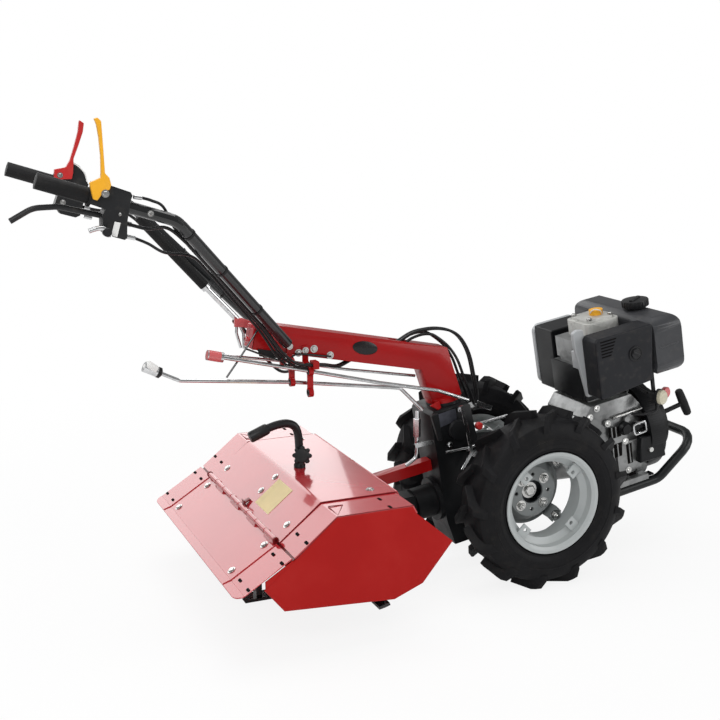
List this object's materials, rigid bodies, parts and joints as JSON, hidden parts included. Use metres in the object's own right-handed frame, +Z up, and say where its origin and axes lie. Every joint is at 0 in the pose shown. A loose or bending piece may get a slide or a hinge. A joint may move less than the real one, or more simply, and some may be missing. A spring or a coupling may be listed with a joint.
{
  "type": "walking tractor",
  "caption": "Two-wheel walking tractor with a front engine, gearbox, steering column with handlebars and a hooded rotary tiller behind.",
  "frame": {"origin": "centre of the part's base on the ground", "axes": "+X forward over the engine, +Y to the left, +Z up"},
  "size_m": [1.9577, 0.784, 1.2744],
  "materials": {
    "cast_black": "black paint on a casting",
    "cast_bare": "bare cast aluminium",
    "cast_iron_black": "black paint on cast iron",
    "black_paint": "satin black paint",
    "red_paint": "gloss red paint",
    "hood_paint": "pale pink paint",
    "plate_paint": "red paint",
    "rim_paint": "silver paint",
    "zinc": "zinc-plated steel",
    "tyre": "black tyre rubber",
    "black_plastic": "grained black plastic",
    "tank_plastic": "dark grey plastic",
    "black_rubber": "black rubber",
    "yellow_plastic": "yellow plastic",
    "red_plastic": "red plastic",
    "cream_plastic": "cream plastic",
    "silver_cover": "silver-grey cover"
  },
  "bodies": {
    "chassis": {"gearbox_case": "cast_black", "axle_housings": "cast_black", "engine_block": "cast_bare", "cylinder": "cast_bare", "rocker_cover": "cast_bare", "oil_cap": "yellow_plastic", "fuel_tank": "tank_plastic", "fuel_cap": "black_plastic", "air_cleaner": "black_plastic", "air_duct": "silver_cover", "muffler": "cast_black", "muffler_guard": "silver_cover", "fan_housing": "black_plastic", "starter_grip": "black_plastic", "fuel_filter": "cream_plastic", "bumper": "black_paint", "gear_links": "zinc", "tiller_case": "cast_iron_black", "tiller_arm": "red_paint", "hood_cover": "hood_paint", "hood_wing_right": "hood_paint", "hood_wing_left": "hood_paint", "side_plate_right": "plate_paint", "side_plate_left": "plate_paint", "hinge_rod": "hood_paint", "depth_handle": "black_plastic", "depth_spur": "black_paint"},
    "wheel_right": {"tyre_right": "tyre", "rim_right": "rim_paint", "disc_right": "rim_paint", "hub_right": "black_paint"},
    "wheel_left": {"tyre_left": "tyre", "rim_left": "rim_paint", "disc_left": "rim_paint", "hub_left": "black_paint"},
    "column": {"column_beam": "red_paint", "rod_guides": "red_paint", "shift_rods": "zinc", "column_cables": "black_rubber", "lock_bracket": "hood_paint"},
    "handlebar": {"handlebar_right": "black_paint", "handlebar_left": "black_paint", "handlebar_bracket": "red_paint", "grips": "black_rubber", "lever_housings": "black_plastic", "hand_lever": "black_plastic", "yellow_lever": "yellow_plastic", "red_lever": "red_plastic", "lock_lever": "zinc", "handlebar_cables": "black_rubber"},
    "flap": {"hood_flap": "hood_paint"},
    "rotor": {"rotor": "black_paint"}
  },
  "joints": [
    {"name": "wheel_right_spin", "type": "hinge", "parent": "chassis", "child": "wheel_right", "pos_m": [0.38122, -0.216, 0.248], "axis": [0, 1, 0], "continuous": true},
    {"name": "wheel_left_spin", "type": "hinge", "parent": "chassis", "child": "wheel_left", "pos_m": [0.38122, 0.216, 0.248], "axis": [0, 1, 0], "continuous": true},
    {"name": "rotor_spin", "type": "hinge", "parent": "chassis", "child": "rotor", "pos_m": [-0.17878, 0, 0.2], "axis": [0, 1, 0], "continuous": true},
    {"name": "column_swing", "type": "hinge", "parent": "chassis", "child": "column", "pos_m": [0.18662, 0, 0.49685], "axis": [-0.1736, 0, 0.9848], "range_deg": [-20, 20], "deforming": ["column_cables"]},
    {"name": "handlebar_height", "type": "hinge", "parent": "column", "child": "handlebar", "pos_m": [-0.31106, 0, 0.71916], "axis": [0, 1, 0], "range_deg": [-12, 10], "deforming": ["handlebar_cables"]},
    {"name": "flap_hinge", "type": "hinge", "parent": "chassis", "child": "flap", "pos_m": [-0.40878, 0, 0.269], "axis": [0, 1, 0], "range_deg": [0, 60]}
  ]
}
